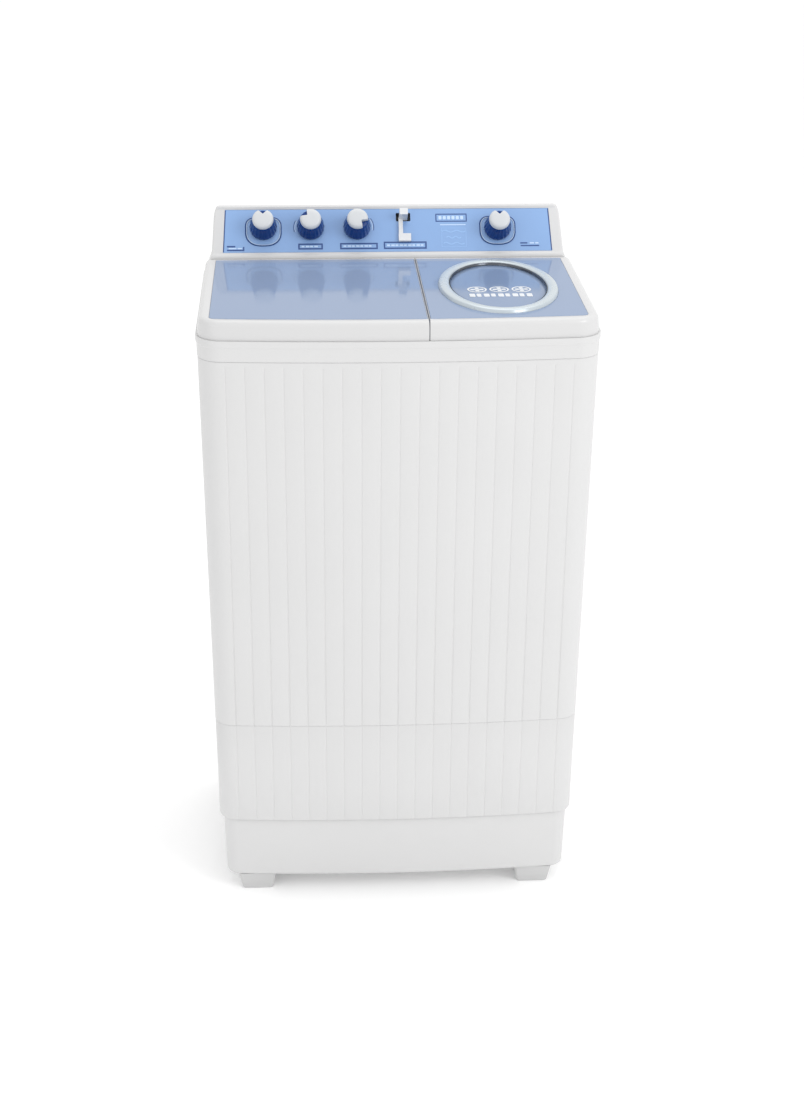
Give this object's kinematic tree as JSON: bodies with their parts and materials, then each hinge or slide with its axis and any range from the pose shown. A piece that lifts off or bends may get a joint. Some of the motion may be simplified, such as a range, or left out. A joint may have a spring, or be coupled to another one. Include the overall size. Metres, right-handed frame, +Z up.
{
  "type": "twin tub washing machine",
  "caption": "Twin tub washing machine: ribbed cabinet on a stepped plinth, two hinged lids, wash tub with pulsator, spin basket with brake, and a sloping control console.",
  "frame": {"origin": "on the floor, under the middle of the whole object's box", "axes": "+Z up, the front faces -Y, the wash tub is towards -X and the spin tub towards +X"},
  "size_m": [0.66, 0.493, 1.1749],
  "materials": {
    "white_plastic": "satin moulded plastic",
    "inner_plastic": "plain moulded plastic",
    "blue_panel": "glossy grey-blue sheet",
    "window_plastic": "smoky glossy sheet",
    "fascia_blue": "blue printed sheet",
    "knob_blue": "dark blue translucent plastic",
    "chrome": "silver plated plastic",
    "steel": "plain steel",
    "motor_casing": "grey painted casting",
    "rubber": "matt black rubber",
    "hose": "flexible grey plastic",
    "capacitor": "drawn can"
  },
  "bodies": {
    "root": {"base_tray": "white_plastic", "bearing_housing": "motor_casing", "cabinet_shell": "white_plastic", "cable_gland": "rubber", "console_housing": "white_plastic", "drain_hose": "hose", "drain_selector": "inner_plastic", "drain_valve": "inner_plastic", "drive_belt": "rubber", "fascia_panel": "fascia_blue", "foot_front_left": "white_plastic", "foot_front_right": "white_plastic", "foot_rear_left": "white_plastic", "foot_rear_right": "white_plastic", "lint_filter": "inner_plastic", "lower_skirt": "white_plastic", "rear_cover": "white_plastic", "run_capacitor": "capacitor", "spin_lid_pin": "steel", "spin_motor": "motor_casing", "spin_spring_front": "steel", "spin_spring_left": "steel", "spin_spring_right": "steel", "spin_timer_bezel": "chrome", "spin_timer_body": "inner_plastic", "spin_tub": "white_plastic", "top_frame": "white_plastic", "wash_lid_pin": "steel", "wash_mode_switch": "inner_plastic", "wash_motor": "motor_casing", "wash_timer_bezel": "chrome", "wash_timer_body": "inner_plastic", "wash_tub": "white_plastic", "water_inlet": "inner_plastic"},
    "wash_lid": {"wash_lid_frame": "white_plastic", "wash_lid_panel": "blue_panel"},
    "spin_lid": {"spin_lid_frame": "white_plastic", "spin_lid_panel": "blue_panel", "spin_lid_ring": "chrome", "spin_window": "window_plastic"},
    "pulsator": {"pulsator": "white_plastic", "pulsator_shaft": "steel", "drive_pulley": "inner_plastic"},
    "wash_motor_rotor": {"motor_pulley": "steel"},
    "spinner": {"spin_basket": "inner_plastic", "spin_press_disc": "knob_blue", "spin_shaft": "steel", "brake_drum": "motor_casing"},
    "brake_lever": {"brake_lever": "steel"},
    "wash_timer_knob": {"wash_timer_knob": "knob_blue", "wash_timer_grip": "white_plastic"},
    "wash_mode_knob": {"wash_mode_knob": "knob_blue", "wash_mode_grip": "white_plastic"},
    "drain_knob": {"drain_knob": "knob_blue", "drain_grip": "white_plastic"},
    "spin_timer_knob": {"spin_timer_knob": "knob_blue", "spin_timer_grip": "white_plastic"},
    "drain_plunger": {"drain_plunger": "rubber"},
    "inlet_lever": {"inlet_lever": "white_plastic"}
  },
  "joints": [
    {"name": "wash_lid_hinge", "type": "hinge", "parent": "root", "child": "wash_lid", "pos_m": [0, 0.1275, 1.076], "axis": [-1, 0, 0], "range_deg": [0, 86]},
    {"name": "spin_lid_hinge", "type": "hinge", "parent": "root", "child": "spin_lid", "pos_m": [0, 0.1275, 1.076], "axis": [-1, 0, 0], "range_deg": [0, 86]},
    {"name": "pulsator_spin", "type": "hinge", "parent": "root", "child": "pulsator", "pos_m": [-0.1345, -0.049, 0.415], "axis": [0, 0, 1], "continuous": true},
    {"name": "wash_motor_spin", "type": "hinge", "parent": "root", "child": "wash_motor_rotor", "pos_m": [-0.01959, 0.04742, 0.235], "axis": [0, 0, 1], "continuous": true},
    {"name": "spinner_spin", "type": "hinge", "parent": "root", "child": "spinner", "pos_m": [0.176, -0.0345, 0.235], "axis": [0, 0, 1], "continuous": true},
    {"name": "brake_lever_turn", "type": "hinge", "parent": "root", "child": "brake_lever", "pos_m": [0.236, -0.0745, 0.26], "axis": [0, 0, 1], "range_deg": [0, 3]},
    {"name": "wash_timer_turn", "type": "hinge", "parent": "root", "child": "wash_timer_knob", "pos_m": [-0.222, 0.18319, 1.1356], "axis": [0, 0.8062, -0.5916], "range_deg": [0, 300]},
    {"name": "wash_mode_turn", "type": "hinge", "parent": "root", "child": "wash_mode_knob", "pos_m": [-0.138, 0.18319, 1.1356], "axis": [0, -0.8062, 0.5916], "range_deg": [0, 90]},
    {"name": "drain_turn", "type": "hinge", "parent": "root", "child": "drain_knob", "pos_m": [-0.055, 0.18319, 1.1356], "axis": [0, -0.8062, 0.5916], "range_deg": [0, 90]},
    {"name": "spin_timer_turn", "type": "hinge", "parent": "root", "child": "spin_timer_knob", "pos_m": [0.197, 0.18142, 1.13318], "axis": [0, 0.8062, -0.5916], "range_deg": [0, 300]},
    {"name": "drain_plunger_lift", "type": "slide", "parent": "root", "child": "drain_plunger", "axis": [0, 0, 1], "range_m": [0, 0.0101]},
    {"name": "inlet_lever_slide", "type": "slide", "parent": "root", "child": "inlet_lever", "axis": [1, 0, 0], "range_m": [-0.004, 0.004]}
  ],
  "couplings": [
    {"joint": "wash_motor_spin", "follows": "pulsator_spin", "ratio": 4.9375},
    {"joint": "brake_lever_turn", "follows": "spin_lid_hinge", "ratio": 0.03},
    {"joint": "drain_plunger_lift", "follows": "drain_turn", "m_per_rad": 0.006366}
  ]
}
